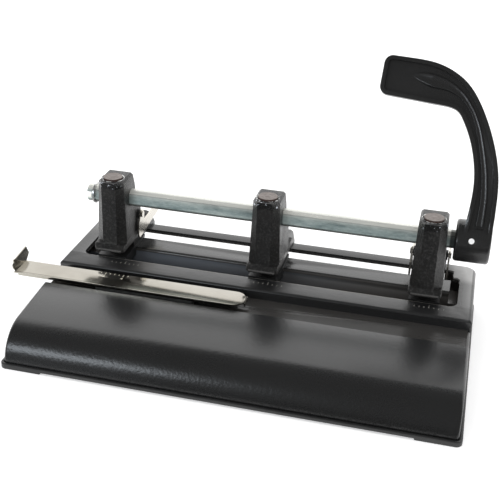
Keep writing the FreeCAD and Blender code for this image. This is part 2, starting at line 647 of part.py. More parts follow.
# ---- Assembly -------------------------------------------------------------
nodes = {
    "chip_pan": chip_pan(),
    "base_frame": base_frame(),
    "table_cover": table_cover(),
    "head_rail": head_rail(),
    "anchor_screw": anchor_screw(),
    "lever_shaft": lever_shaft(),
    "shaft_clip": shaft_clip(),
    "handle": handle(),
    "hub_pin": hub_pin(hub_pin_proud),
    "guide_slide": guide_slide(),
    "guide_keeper": guide_keeper(),
    "keeper_screws": keeper_screws(),
}
for place, x in (("left", -hole_pitch), ("middle", 0), ("right", hole_pitch)):
    fixed = place == "middle"
    nodes["head_" + place] = moved(head_casting(not fixed, fixed), x)
    nodes["die_block_" + place] = moved(die_block(fixed), x)
    nodes["die_screws_" + place] = moved(die_screws(), x)
    nodes["punch_" + place] = moved(punch_pin(), x)
    nodes["bore_cap_" + place] = moved(bore_cap(), x)
    nodes["punch_spring_" + place] = moved(punch_spring(), x)
    nodes["drive_cam_" + place] = moved(drive_cam(), x)
    if not fixed:
        nodes["latch_" + place] = moved(latch(), x)
        nodes["latch_pin_" + place] = moved(latch_pin(), x)

for name, shape in nodes.items():
    shape.exportStep("parts/" + name + ".step")
    print(name, "solids", len(shape.Solids), "volume", round(shape.Volume), "valid", shape.isValid())
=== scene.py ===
import math

import bmesh
import bpy
import numpy as np
from mathutils import Matrix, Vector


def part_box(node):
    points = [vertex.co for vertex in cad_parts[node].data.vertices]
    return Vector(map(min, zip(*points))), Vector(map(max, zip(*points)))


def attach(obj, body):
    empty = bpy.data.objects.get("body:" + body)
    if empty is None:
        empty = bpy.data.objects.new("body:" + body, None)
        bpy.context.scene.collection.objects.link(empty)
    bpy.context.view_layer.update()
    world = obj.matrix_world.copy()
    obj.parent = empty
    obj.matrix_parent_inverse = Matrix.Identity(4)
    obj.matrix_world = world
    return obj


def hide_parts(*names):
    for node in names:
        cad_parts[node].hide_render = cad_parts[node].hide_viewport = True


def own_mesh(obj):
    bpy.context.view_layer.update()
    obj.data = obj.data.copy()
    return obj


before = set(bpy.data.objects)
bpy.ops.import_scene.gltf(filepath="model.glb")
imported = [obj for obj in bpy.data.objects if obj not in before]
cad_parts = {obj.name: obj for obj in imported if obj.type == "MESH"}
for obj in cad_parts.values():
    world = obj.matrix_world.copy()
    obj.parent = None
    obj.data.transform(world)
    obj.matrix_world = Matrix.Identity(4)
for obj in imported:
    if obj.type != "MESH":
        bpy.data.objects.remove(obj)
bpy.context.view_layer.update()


# ---- Camera -----------------------------------------------------------------
# A long lens a little above the machine and to the right of its middle, so
# that the table, the row of heads and the handle are all seen at once.
def linked(name, data):
    """A new object in the scene."""
    made = bpy.data.objects.new(name, data)
    bpy.context.scene.collection.objects.link(made)
    return made


def stand(thing, right, up, back, place):
    """Put a camera or a lamp at a place in metres, with its own three axes pointing these ways."""
    pose = np.eye(4)
    pose[:3, 0], pose[:3, 1], pose[:3, 2], pose[:3, 3] = right, up, back, place
    thing.matrix_world = Matrix(pose.tolist())


turn, tip, roll = math.radians(-13.2), math.radians(26.81), math.radians(-1.89)
camera_at = (0.12094, -0.56234, 0.33887)
focal_pixels, picture_pixels, film_width = 957.19, 500, 36.0
ahead = np.array([math.sin(turn) * math.cos(tip), math.cos(turn) * math.cos(tip), -math.sin(tip)])
level = np.array([math.cos(turn), -math.sin(turn), 0.0])
below = np.cross(ahead, level)
across = math.cos(roll) * level + math.sin(roll) * below
down = -math.sin(roll) * level + math.cos(roll) * below
lens = bpy.data.cameras.new("camera")
lens.sensor_width = film_width
lens.lens = focal_pixels / picture_pixels * film_width
lens.clip_end = 50.0
camera = linked("camera", lens)
stand(camera, across, -down, -ahead, camera_at)
bpy.context.scene.camera = camera


# ---- Base: frame, front table and head rail ---------------------------------
# Deep-drawn steel sheet, sprayed with a glossy black enamel that dries with a
# fine leathery grain.  The rail is a separate channel in the same enamel, and
# every pressed edge is rolled over where it catches the light.
class Value:
    """A shader socket that takes part in ordinary arithmetic through Math nodes."""

    def __init__(self, finish, socket):
        self.finish, self.socket = finish, socket

    def _math(self, operation, *terms):
        return self.finish.node("ShaderNodeMath", {"operation": operation}, dict(enumerate(terms)))

    def __add__(self, other):
        return self._math("ADD", self, other)

    def __sub__(self, other):
        return self._math("SUBTRACT", self, other)

    def __rsub__(self, other):
        return self._math("SUBTRACT", other, self)

    def __mul__(self, other):
        return self._math("MULTIPLY", self, other)

    __radd__, __rmul__ = __add__, __mul__

    def absolute(self):
        return self._math("ABSOLUTE", self)

    def clamped(self):
        return self._math("MINIMUM", self._math("MAXIMUM", self, 0.0), 1.0)


class Finish:
    """A material being built on Object coordinates, so a pattern keeps its real size and stays with
    its piece.  node() adds a node and returns one of its outputs, the first unless another is named."""

    def __init__(self, name):
        self.material = bpy.data.materials.new(name)
        self.material.use_nodes = True
        self.tree = self.material.node_tree
        self.tree.nodes.clear()
        self.place = self.node("ShaderNodeTexCoord", {}, {}, "Object")

    def node(self, kind, settings, inputs, output=0):
        made = self.tree.nodes.new(kind)
        for name, value in settings.items():
            if name == "stops":
                ramp = made.color_ramp
                while len(ramp.elements) < len(value):
                    ramp.elements.new(1.0)
                for element, (position, colour) in zip(ramp.elements, value):
                    element.position, element.color = position, tuple(colour) + (1.0,)
            else:
                setattr(made, name, value)
        for name, value in inputs.items():
            if isinstance(value, Value):
                self.tree.links.new(value.socket, made.inputs[name])
            else:
                made.inputs[name].default_value = value
        return Value(self, made.outputs[output])

    def stretched(self, x, y, z):
        """Object coordinates scaled along each axis, for streaks and brushing."""
        return self.node("ShaderNodeMapping", {}, {"Vector": self.place, "Scale": (x, y, z)})

    def noise(self, scale, detail=2.0, rough=0.5, where=None):
        """Lumps, as many to the metre as the scale says."""
        return self.node("ShaderNodeTexNoise", {}, {"Vector": where or self.place, "Scale": scale,
                                                    "Detail": detail, "Roughness": rough})

    def cells(self, scale):
        """Rounded cells, as many to the metre as the scale says."""
        return self.node("ShaderNodeTexVoronoi", {"feature": "SMOOTH_F1"},
                         {"Vector": self.place, "Scale": scale})

    def axes(self):
        """The three Object coordinates as separate values."""
        parts = self.node("ShaderNodeSeparateXYZ", {}, {"Vector": self.place})
        outputs = parts.socket.node.outputs
        return tuple(Value(self, outputs[axis]) for axis in "XYZ")

    def step(self, value, start, end):
        """Rises smoothly from 0 at start to 1 at end."""
        return self.node("ShaderNodeMapRange", {"interpolation_type": "SMOOTHSTEP"},
                         {"Value": value, "From Min": start, "From Max": end})

    def beyond(self, distance, place, soft):
        """1 past a place and 0 before it, with a soft edge centred there; both in millimetres."""
        return self.step(distance, (place - soft / 2) / 1000, (place + soft / 2) / 1000)

    def before(self, distance, place, soft):
        """1 up to a place and 0 past it, with a soft edge centred there; both in millimetres."""
        return self.beyond(distance * -1.0, -place, soft)

    def blend(self, share, first, second):
        """A colour that goes from the first to the second as the share rises to 1."""
        both = {6: first, 7: second}
        ready = {key: c if isinstance(c, Value) else tuple(c) + (1.0,) for key, c in both.items()}
        return self.node("ShaderNodeMix", {"data_type": "RGBA"}, {0: share, **ready}, 2)

    def ramp(self, value, stops):
        return self.node("ShaderNodeValToRGB", {"stops": stops}, {0: value})

    def bump(self, height, depth):
        """A relief whose full height of 1 is the depth in millimetres."""
        return self.node("ShaderNodeBump", {}, {"Height": height, "Distance": depth / 1000})

    def surface(self, **sockets):
        shader = self.node("ShaderNodeBsdfPrincipled", {},
                           {key.replace("_", " "): value for key, value in sockets.items()})
        end = self.tree.nodes.new("ShaderNodeOutputMaterial")
        self.tree.links.new(shader.socket, end.inputs["Surface"])
        return self.material


def grey(level, warm=0.0):
    return (level * (1 + warm), level, level * (1 - warm))


def box_mm(node):
    """A node's box in millimetres: its low corner and its high corner."""
    return [[edge * 1000 for edge in corner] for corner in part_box(node)]


def rolled(node, name, body, material, width, angle=30.0):
    """A node's form with its loose triangles merged and its edges rolled over to the width in
    millimetres, wherever two faces meet at more than the angle in degrees."""
    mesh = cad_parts[node].data.copy()
    work = bmesh.new()
    work.from_mesh(mesh)
    bmesh.ops.remove_doubles(work, verts=work.verts, dist=0.00001)
    bmesh.ops.dissolve_limit(work, angle_limit=math.radians(1.5), verts=work.verts, edges=work.edges)
    work.to_mesh(mesh)
    work.free()
    mesh.materials.clear()
    mesh.materials.append(material)
    mesh.polygons.foreach_set("use_smooth", np.ones(len(mesh.polygons), bool))
    piece = linked(name, mesh)
    bevel = piece.modifiers.new("rolled_edges", "BEVEL")
    bevel.width, bevel.segments, bevel.harden_normals = width / 1000, 3, True
    bevel.limit_method, bevel.angle_limit = "ANGLE", math.radians(angle)
    bevel.use_clamp_overlap = True
    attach(piece, body)
    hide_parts(node)


# places on the shell in millimetres: X from its middle, Y from the row of punches, Z from the desk
shell_half, shell_back, deck_top = box_mm("base_frame")[1]
rail_front = box_mm("head_rail")[0][1]
nose_y = -93.0
channel_front, channel_top = -59.5, 23.4
strip_front, strip_back = -23.25, -6.5
window_lip, window_lip_width, window_lip_half = -7.6, 0.9, 123.25
inside_front = -20.9


def shell_enamel(name, grain, depth, rough):
    finish = Finish(name)
    broad = finish.noise(9.0, 3.0)
    leather = finish.cells(grain) * 0.7 + finish.noise(grain * 1.7, 3.0, 0.6) * 0.5
    dust = finish.noise(2600.0, 1.0)
    dirt = finish.noise(260.0, 4.0, 0.7, finish.stretched(0.3, 1.0, 1.0))
    x, y, z = finish.axes()
    out = x.absolute()
    on_deck = finish.beyond(z, deck_top - 1.2, 1.0)
    # the deck's rear corners and its right end are painted pale up to the rolled edge: a painted glare for
    # the bright reflection there
    end = finish.beyond(x, shell_half - 5.55, 11.5) * finish.beyond(y, -10.0, 40.0)
    corner = finish.beyond(out, shell_half - 12.3, 23.0) * finish.beyond(y, shell_back - 17.7, 28.0)
    glare_patch = finish.beyond(x, shell_half - 16.8, 7.0) * finish.beyond(y, shell_back - 23.95, 9.5)
    wear_and_glare = (end * 0.55 + corner * 0.6 + glare_patch * 0.5) * (broad * 0.5 + 0.75) * (1.0 - dirt * 0.25)
    rolled_edge = finish.beyond(out, shell_half - 2.2, 0.8)
    painted_glare = (wear_and_glare * on_deck * (1.0 - rolled_edge * 0.8)).clamped()
    colour = finish.ramp(broad, [(0.3, grey(0.010)), (0.7, grey(0.016, -0.03))])
    colour = finish.blend(painted_glare, colour, grey(0.50, 0.01))
    # inside the frame the enamel is painted lighter, as painted fill light in the hollow, and lighter still
    # deep down; the guide's channel is painted a lighter grey as well
    within = finish.before(out, shell_half - 1.5, 0.6)
    inside = (finish.before(z, deck_top - 1.8, 1.0) * finish.beyond(y, inside_front, 0.8)
              * finish.before(y, shell_back - 1.4, 0.6) * within)
    channel = finish.before(z, channel_top, 0.4) * finish.beyond(y, channel_front, 1.0) * within
    colour = finish.blend((inside + channel * 0.7).clamped(), colour, grey(0.045, 0.06))
    colour = finish.blend(inside * finish.before(z, deck_top - 5.2, 2.2), colour, grey(0.11, 0.05))
    # the front edge of the window carries a thin pale painted highlight, broken up by noise
    lip = (finish.beyond(y, window_lip - window_lip_width / 2, 0.3)
           * finish.before(y, window_lip + window_lip_width / 2, 0.3)
           * finish.before(out, window_lip_half, 1.5) * on_deck)
    colour = finish.blend((lip * (dirt * 1.4 - 0.1)).clamped(), colour, (0.42, 0.40, 0.36))
    # the rail's front flange is painted blue-grey, a painted reflection in the dark pit, fading out towards
    # the right
    flange = (finish.beyond(y, rail_front - 0.3, 0.4) * finish.before(y, rail_front + 0.5, 0.4)
              * finish.before(z, deck_top - 3.45, 1.3) * finish.before(x, 5.0, 190.0) * within)
    colour = finish.blend(flange * 0.75, colour, (0.16, 0.18, 0.21))
    # the nose of the table is painted darker as shade, with a deeper grain than its top
    nose = finish.before(y, nose_y, 14.0)
    colour = finish.blend(nose * 0.7, colour, grey(0.006))
    # the strip in front of the window is dull with handling, most of all at its left end
    strip = finish.beyond(y, strip_front, 1.5) * finish.before(y, strip_back, 1.0) * on_deck
    dulled = strip * (dirt * 0.24 + 0.02 + finish.before(x, -100.0, 30.0) * 0.10)
    relief = leather * (nose * 1.0 + 2.4) + dust * 0.15 + dirt * strip * 0.5
    return finish.surface(Base_Color=colour, Specular_IOR_Level=0.78, Normal=finish.bump(relief, depth),
                          Roughness=broad * 0.06 + dust * 0.03 + painted_glare * 0.15 + dulled + nose * 0.02 + rough)


base_enamel = shell_enamel("grained_enamel", grain=560.0, depth=0.028, rough=0.21)
for name, edge_width in (("base_frame", 0.6), ("table_cover", 0.4), ("head_rail", 0.5)):
    rolled(name, "enamelled_" + name, "base", base_enamel, width=edge_width)


# ---- Chip pan ---------------------------------------------------------------
# A shallow black plastic tray that clips below the frame and catches the
# chips; its moulded rim shows all round as a thin dark line.
def moulded_plastic():
    finish = Finish("tray_plastic")
    spark = finish.noise(1500.0, 2.0)
    wear = finish.noise(30.0, 4.0)
    colour = finish.ramp(wear, [(0.35, grey(0.016)), (0.75, grey(0.026))])
    return finish.surface(Base_Color=colour, Roughness=wear * 0.12 + 0.36, Normal=finish.bump(spark, 0.020))


rolled("chip_pan", "moulded_tray", "base", moulded_plastic(), width=0.4)


# ---- Punch heads ------------------------------------------------------------
# Iron castings in black wrinkle enamel, rolled to a soft shine on their corners; the jaw's rims carry a
# painted highlight.
# Each is cast in one with its jaw, foot and the heel behind the frame.
places = ("left", "middle", "right")
bodies = {"left": "left_head", "middle": "base", "right": "right_head"}
head_low, head_high = box_mm("head_middle")
jaw_front, jaw_half, crown = head_low[1], head_high[0], head_high[2]
jaw_low = box_mm("punch_middle")[0][2]


def middle(node, axis):
    """The middle of a node's box along one axis, in millimetres."""
    low, high = box_mm(node)
    return (low[axis] + high[axis]) / 2


head_x = {place: middle("head_" + place, 0) for place in places}


def wrinkle_enamel():
    finish = Finish("wrinkle_enamel")
    creases = finish.cells(950.0)
    pits = finish.noise(1500.0, 4.0, 0.7)
    broad = finish.noise(60.0, 3.0)
    x, y, z = finish.axes()
    # the enamel wrinkles less on the jaw and the foot than on the column
    smooth = finish.before(z, jaw_low + 5.8, 6.0)
    relief = (creases * 0.9 + pits * 0.9) * (1.0 - smooth * 0.6)
    crest = finish.step(creases + pits * 0.6, 0.66, 1.10)
    colour = finish.ramp(broad, [(0.3, grey(0.008)), (0.72, grey(0.015, 0.06))])
    colour = finish.blend(crest * 0.8, colour, grey(0.040, 0.02))
    # in front below the cap the enamel has pooled thick and glossy; a few bluish-white specks in it are
    # painted glints
    pool = finish.beyond(z, crown - 4.5, 3.0) * finish.before(y, -1.0, 4.0)
    colour = finish.blend(pool * 0.7, colour, grey(0.006))
    glint_specks = finish.step(finish.noise(430.0, 1.0, 0.5), 0.635, 0.665)
    pool_glints = glint_specks * finish.beyond(z, crown - 4.0, 1.0) * pool
    colour = finish.blend(pool_glints * 0.9, colour, (0.78, 0.82, 0.90))
    # the rims of the jaw carry a painted pale highlight, mottled by the pits: off is the distance from the
    # middle of the nearest head
    pitch = head_x["right"]
    off = (x.absolute() - finish.beyond(x.absolute(), pitch / 2, 0.2) * (pitch / 1000)).absolute()
    plate = finish.beyond(z, jaw_low + 0.7, 0.2) * finish.before(z, jaw_low + 5.7, 0.6)
    rims = (finish.beyond(off, jaw_half - 0.5, 0.4) + finish.before(y, jaw_front + 0.5, 0.4)).clamped()
    colour = finish.blend((rims * plate * (pits * 0.8 + 0.1)).clamped(), colour, grey(0.11, 0.03))
    return finish.surface(Base_Color=colour, Metallic=pool_glints * 0.8, Specular_IOR_Level=0.5,
                          Roughness=broad * 0.10 + pits * 0.12 - pool * 0.12 + 0.22,
                          Normal=finish.bump(relief, 0.260))


head_enamel = wrinkle_enamel()
for place in places:
    rolled("head_" + place, "casting_" + place, bodies[place], head_enamel,
           width=0.7, angle=24.0)


# ---- Bore caps, punches, dies and cams --------------------------------------
# Dull plugs close the guide bores; below them are the ground punches with
# their springs, the forked cams on the shaft and the hardened dies.
def dress(node, material):
    """Give a CAD node its finish."""
    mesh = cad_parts[node].data
    mesh.materials.clear()
    mesh.materials.append(material)


def worn_steel(name, colour, shade, rough, streak=(1.0, 1.0, 1.0)):
    finish = Finish(name)
    marks = finish.noise(700.0, 3.0, 0.6, finish.stretched(*streak))
    patches = finish.noise(90.0, 3.0)
    tone = finish.ramp(patches * 0.5 + marks * 0.5, [(0.3, shade), (0.7, colour)])
    return finish.surface(Base_Color=tone, Metallic=1.0, Roughness=marks * 0.15 + rough,
                          Normal=finish.bump(marks, 0.006))


def cap_plugs():
    """Dull steel with a warm film, and a dark red-brown on the rim down to the casting."""
    finish = Finish("filmed_cap_steel")
    patches = finish.noise(380.0, 4.0, 0.65)
    pits = finish.noise(1800.0, 2.0)
    z = finish.axes()[2]
    rim = finish.before(z, crown + 0.925, 0.15)
    film = [(0.32, (0.145, 0.122, 0.112)), (0.55, (0.215, 0.186, 0.172)), (0.75, (0.28, 0.25, 0.235))]
    rim_brown = (0.050, 0.016, 0.010)
    tone = finish.blend(rim * (patches * 0.6 + 0.6), finish.ramp(patches, film), rim_brown)
    return finish.surface(Base_Color=tone, Metallic=0.8 - rim * 0.7,
                          Roughness=patches * 0.2 + rim * 0.3 + 0.30,
                          Normal=finish.bump(patches * 0.6 + pits * 0.4, 0.050))


def glinting_collar():
    """The casting's black enamel, with spots along the collar's crest painted bright as glints."""
    finish = Finish("glinting_collar")
    pits = finish.noise(1500.0, 3.0, 0.65)
    z = finish.axes()[2]
    crest_glints = finish.step(finish.noise(430.0, 2.0, 0.6), 0.46, 0.54) * finish.beyond(z, crown + 0.175, 0.25)
    return finish.surface(Base_Color=finish.blend(crest_glints, grey(0.014), (0.66, 0.66, 0.64)),
                          Metallic=crest_glints * 0.9, Roughness=pits * 0.15 + 0.14,
                          Normal=finish.bump(pits, 0.060))


cap_finish, collar_finish = cap_plugs(), glinting_collar()
dark_steel = worn_steel("blackened_die_steel", grey(0.10), grey(0.05), rough=0.38)
tool_steel = worn_steel("ground_tool_steel", grey(0.46), grey(0.34), rough=0.24, streak=(0.3, 0.3, 2.0))
spring_steel = worn_steel("oiled_spring_wire", grey(0.34), grey(0.22, 0.05), rough=0.28)
plain_steel = worn_steel("plain_screw_steel", grey(0.50), grey(0.36), rough=0.30)


def skin(name, stacks, material, sharp):
    """A closed mesh through stacks of rings: point j of each ring joins point j of the next ring,
    and the first and last ring of every stack are filled.  Edges past the sharp angle stay crisp."""
    points, faces, first = [], [], 0
    for rings in stacks:
        rows, count = rings.shape[:2]
        row, spot = np.meshgrid(np.arange(rows - 1), np.arange(count), indexing="ij")
        here, after = row * count + spot, row * count + (spot + 1) % count
        quads = np.stack([here, after, after + count, here + count], -1).reshape(-1, 4) + first
        last = first + (rows - 1) * count
        faces += quads.tolist()
        faces += [list(range(first, first + count)), list(range(last, last + count))]
        points.append(rings.reshape(-1, 3))
        first += rows * count
    mesh = bpy.data.meshes.new(name)
    mesh.from_pydata(np.concatenate(points).tolist(), [], faces)
    work = bmesh.new()
    work.from_mesh(mesh)
    bmesh.ops.remove_doubles(work, verts=work.verts, dist=0.0000005)
    bmesh.ops.recalc_face_normals(work, faces=work.faces)
    work.to_mesh(mesh)
    work.free()
    mesh.polygons.foreach_set("use_smooth", np.ones(len(mesh.polygons), bool))
    mesh.set_sharp_from_angle(angle=math.radians(sharp))
    mesh.materials.append(material)
    return linked(name, mesh)


def turned(profile, x, count=96):
    """Rings of a form turned about the bore at x: each (radius, height above the casting's crown) in
    millimetres becomes one ring of evenly spaced points."""
    angle = np.linspace(0.0, 2 * math.pi, count, endpoint=False)
    radius, height = np.array(profile, float).T
    return np.stack([x + radius[:, None] * np.cos(angle), radius[:, None] * np.sin(angle),
                     np.repeat(crown + height[:, None], count, 1)], -1) / 1000


def coil(x):
    """Rings of the wire's section along a helix about the bore at x: angle and height rise together,
    and the first and last quarter turn lie flat."""
    low, high = box_mm("punch_spring_middle")
    turns, flat_turn, wire, stations = 4.5, 0.25, 0.6, 325
    turn = np.linspace(0.0, turns, stations)
    rise = np.clip((turn - flat_turn) / (turns - 2 * flat_turn), 0.0, 1.0)
    angle = turn[:, None] * 2 * math.pi
    height = low[2] + wire + rise[:, None] * (high[2] - low[2] - 2 * wire)
    section = np.linspace(0.0, 2 * math.pi, 10, endpoint=False)
    reach = high[0] - wire + wire * np.cos(section)
    return np.stack([x + reach * np.cos(angle), reach * np.sin(angle),
                     height + wire * np.sin(section)], -1) / 1000


collar_profile = [(7.00, -3.0), (7.00, -0.10), (7.10, 0.20), (7.30, 0.42), (7.55, 0.48), (7.78, 0.38),
                  (7.94, 0.12), (8.02, -0.20), (8.10, -3.0), (7.00, -3.0)]
cap_profile = [(6.02, -2.95), (6.02, 0.02), (6.40, 0.05), (6.42, 1.15), (6.30, 1.27), (6.10, 1.30),
               (4.60, 1.27), (4.50, 1.24), (4.40, 1.27), (2.60, 1.27), (2.50, 1.24), (2.40, 1.27),
               (0.02, 1.27)]
for place in places:
    collar = skin("bore_collar_" + place, [turned(collar_profile, head_x[place])], collar_finish, sharp=60.0)
    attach(collar, bodies[place])
    cap = skin("bore_plug_" + place, [turned(cap_profile, head_x[place])], cap_finish, sharp=40.0)
    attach(cap, bodies[place])
    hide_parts("bore_cap_" + place)
    spring = skin("return_spring_" + place, [coil(head_x[place])], spring_steel, sharp=60.0)
    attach(spring, bodies[place])
    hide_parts("punch_spring_" + place)
    head_x[place] / 1000
    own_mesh(spring)
    dress("die_block_" + place, dark_steel)
    dress("punch_" + place, tool_steel)
    dress("drive_cam_" + place, tool_steel)
    dress("die_screws_" + place, plain_steel)
for name in ("anchor_screw", "guide_keeper", "keeper_screws"):
    dress(name, plain_steel)


# ---- Drive shaft ------------------------------------------------------------
# Bright drawn steel bar with one long flat towards the front, two tines at its
# left end and a snap ring in a groove; die lines and a blue-green oil film show
# on it, and its shade is painted in: a lighter top, a darker front flat, a dark
# underside, a dark line along the flat's upper edge and a dark end at the hub.
bar_low, bar_high = box_mm("lever_shaft")
bar_left, bar_right, bar_top = bar_low[0], bar_high[0], bar_high[2]
bar_y, bar_z = middle("lever_shaft", 1), middle("lever_shaft", 2)
bar_radius = bar_top - bar_z
flat_reach, flat_angle, flat_right = 5.0, math.radians(172.0), 122.2
groove_radius, groove_width, groove_inset = 5.1, 1.0, 4.1
slot_depth, slot_half = 3.2, 2.4


def drawn_bar():
    finish = Finish("drawn_bar")
    lines = finish.noise(900.0, 3.0, 0.6, finish.stretched(0.02, 1.0, 1.0))
    film = finish.noise(170.0, 4.0, 0.62, finish.stretched(0.16, 1.0, 1.0))
    specks = finish.noise(520.0, 3.0, 0.7, finish.stretched(0.35, 1.0, 1.0))
    x, y, z = finish.axes()
    # the round top is painted lighter, a painted reflection of the bright backdrop; the front flat is painted
    # darker blue-green, painted shade over an oil film, and the underside is painted dark as shade
    front = finish.before(y, bar_y - 4.55, 0.9)
    under = finish.before(z, bar_z - 3.45, 2.5)
    lit_top = finish.ramp(film * 0.5 + lines * 0.5, [(0.30, (0.66, 0.675, 0.63)), (0.60, (0.90, 0.90, 0.84))])
    shade_and_film = finish.ramp(film * 0.6 + specks * 0.4, [(0.36, (0.20, 0.27, 0.27)), (0.50, (0.40, 0.49, 0.48)),
                                                    (0.66, (0.62, 0.70, 0.67))])
    # a hard dark line of painted shade lies along the upper edge of the flat
    edge_shade = finish.beyond(z, bar_z + 3.625, 0.15) * finish.before(z, bar_z + 4.275, 0.15) * front
    tone = finish.blend(front, lit_top, shade_and_film)
    tone = finish.blend(under * (specks * 0.7 + 0.5), tone, (0.055, 0.042, 0.032))
    tone = finish.blend((edge_shade * (film * 1.6 + 0.1)).clamped(), tone, (0.020, 0.018, 0.016))
    # painted shade darkens the bar where it enters the lever's hub
    hub_shade = finish.beyond(x, flat_right - 2.95, 1.5) * 0.85
    tone = finish.blend(hub_shade, tone, (0.030, 0.034, 0.034))
    return finish.surface(Base_Color=tone, Metallic=0.5,
                          Roughness=lines * 0.12 + film * 0.14 + front * 0.10 + 0.12,
                          Normal=finish.bump(lines * 0.7 + specks * 0.3, 0.012))


def bar_ring(x, radius, angles, reach):
    """Points round the axis at one station: the radius, cut short where a flat at that reach crosses
    it; the flat's distance along each angle is its reach over the cosine of the angle from its middle."""
    facing = np.cos(angles - flat_angle)
    grazing, clear = 0.2, 99.0
    size = np.minimum(radius, np.where(facing > grazing, reach / np.maximum(facing, grazing), clear))
    return np.stack([np.full_like(angles, x), bar_y + size * np.cos(angles),
                     bar_z + size * np.sin(angles)], -1) / 1000


def drive_bar():
    """Rings along the bar with its groove, and two tines whose section is the bar's beyond the slot."""
    around = np.linspace(0.0, 2 * math.pi, 128, endpoint=False)
    root, groove = bar_left + slot_depth, bar_left + groove_inset
    chamfer, shoulder, run_out, lap = 0.5, 0.05, 0.15, 0.1
    stations = [(root, bar_radius, flat_reach), (groove - shoulder, bar_radius, flat_reach),
                (groove, groove_radius, flat_reach), (groove + groove_width, groove_radius, flat_reach),
                (groove + groove_width + shoulder, bar_radius, flat_reach), (0.0, bar_radius, flat_reach),
                (flat_right, bar_radius, flat_reach), (flat_right + run_out, bar_radius, bar_radius),
                (bar_right - lap, bar_radius, bar_radius)]
    stacks = [np.stack([bar_ring(x, radius, around, reach) for x, radius, reach in stations])]
    edge = math.asin(slot_half / bar_radius)
    ends = [(bar_left, bar_radius - chamfer), (bar_left + chamfer, bar_radius), (root + lap, bar_radius)]
    for start in (edge, math.pi + edge):
        arc = np.linspace(start, start + math.pi - 2 * edge, 48)
        stacks.append(np.stack([bar_ring(x, radius, arc, flat_reach) for x, radius in ends]))
    return stacks


bar = skin("drawn_drive_bar", drive_bar(), drawn_bar(), sharp=25.0)
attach(bar, "lever")
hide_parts("lever_shaft")
dress("shaft_clip", worn_steel("clip_steel", grey(0.80), grey(0.62), rough=0.24))


# the pin's face is painted near white, a painted highlight standing in for a bright flash on it
def flash_white_pin():
    finish = Finish("flash_white_pin")
    marks = finish.noise(900.0, 3.0)
    tone = finish.ramp(marks, [(0.3, grey(0.86)), (0.7, grey(0.97))])
    return finish.surface(Base_Color=tone, Metallic=0.1, Roughness=marks * 0.1 + 0.2,
                          Normal=finish.bump(marks, 0.010))


dress("hub_pin", flash_white_pin())


# ---- Handle -----------------------------------------------------------------
# A casting with a round hub pinned to the shaft; the arm is recessed inside a
# raised rim and stove-enamelled in a smooth glossy black.
def gloss_enamel():
    finish = Finish("gloss_enamel")
    orange_peel = finish.noise(420.0, 3.0, 0.6) + finish.noise(1700.0, 2.0) * 0.5
    broad = finish.noise(25.0, 3.0)
    colour = finish.ramp(broad, [(0.3, grey(0.010)), (0.7, grey(0.015))])
    return finish.surface(Base_Color=colour, Roughness=broad * 0.06 + 0.20, IOR=1.5,
                          Specular_IOR_Level=0.7, Normal=finish.bump(orange_peel, 0.090))


handle_enamel = gloss_enamel()
rolled("handle", "lever_handle", "lever", handle_enamel, width=0.9, angle=24.0)

# The casting carries a raised rib inside the arm's rim; it starts round on the
# pad, is widest in the bend and runs down to the hub pin.  Points are (X,
# distance from the shaft axis) in millimetres along its two edges.
rib_inner = [(82.4, 100.2), (83.2, 99.3), (87.5, 96.4), (95.0, 93.5), (105.2, 92.6), (111.8, 89.9),
             (117.0, 85.7), (122.0, 79.4), (125.3, 71.9), (128.4, 61.2), (130.7, 52.4), (132.6, 43.6),
             (133.8, 34.8), (134.2, 25.7), (133.9, 16.6), (133.4, 10.0)]
rib_outer = [(82.4, 100.6), (83.6, 101.8), (88.1, 103.0), (95.3, 102.7), (103.6, 100.3), (109.9, 97.0),
             (115.0, 93.0), (120.1, 87.1), (124.7, 80.0), (128.9, 71.6), (132.1, 61.6), (134.5, 52.8),
             (136.6, 44.0), (137.9, 35.2), (138.9, 26.3), (138.9, 10.0)]


def along(points, count):
    """The polyline's points resampled at equal steps of its length, then evened out by a running mean."""
    points = np.array(points, float)
    length = np.concatenate([[0.0], np.cumsum(np.linalg.norm(np.diff(points, axis=0), axis=1))])
    at = np.linspace(0.0, length[-1], count)
    even = np.stack([np.interp(at, length, points[:, axis]) for axis in (0, 1)], -1)
    for _ in range(3):
        even[1:-1] = (even[:-2] + even[1:-1] * 2 + even[2:]) / 4
    return even


rib_height, rib_hollow = 1.7, 0.55
hub_radius, arm_inset, recess = 13.7, 0.4, 2.5
arm_tilt = math.radians(25.0)


def handle_rib():
    """Rings across the rib: along its top, height = full height times the root of (1 - |offset| to the
    sixth power), less a shallow hollow in the middle; the ring closes below the floor of the recess."""
    stations, across_count, sunk, buried = 90, 21, 0.05, 0.4
    inner, outer = along(rib_inner, stations), along(rib_outer, stations)
    share = np.linspace(0.0, 1.0, across_count)
    offset = np.abs(share * 2 - 1)
    rise = rib_height * np.sqrt(1 - offset ** 6) - rib_hollow * (1 - offset ** 2) ** 2
    growth = np.minimum(1.0, np.linspace(0.0, 9.0, stations))[:, None]
    across = inner[:, None] + (outer - inner)[:, None] * share[None, :, None]
    floor = hub_radius - arm_inset - recess
    top = np.concatenate([across, floor - sunk + (rise[None] * growth)[..., None]], -1)
    below = top[:, ::-1].copy()
    below[..., 2] = floor - buried
    x, reach, out = np.moveaxis(np.concatenate([top, below], 1), -1, 0)
    y = bar_y + reach * math.sin(arm_tilt) - out * math.cos(arm_tilt)
    z = bar_z + reach * math.cos(arm_tilt) + out * math.sin(arm_tilt)
    return np.stack([x, y, z], -1) / 1000


rib = skin("lever_handle_rib", [handle_rib()], handle_enamel, sharp=40.0)
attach(rib, "lever")


# ---- Latches and sheet guide ------------------------------------------------
# Stirrups and a ruler of pressed strip, nickel-plated to a warm satin shine.
# The latches hang on pins in the outer heads; the guide slides in its channel.
guide_top = 30.0
crease_y, crease_half = -44.95, 0.25


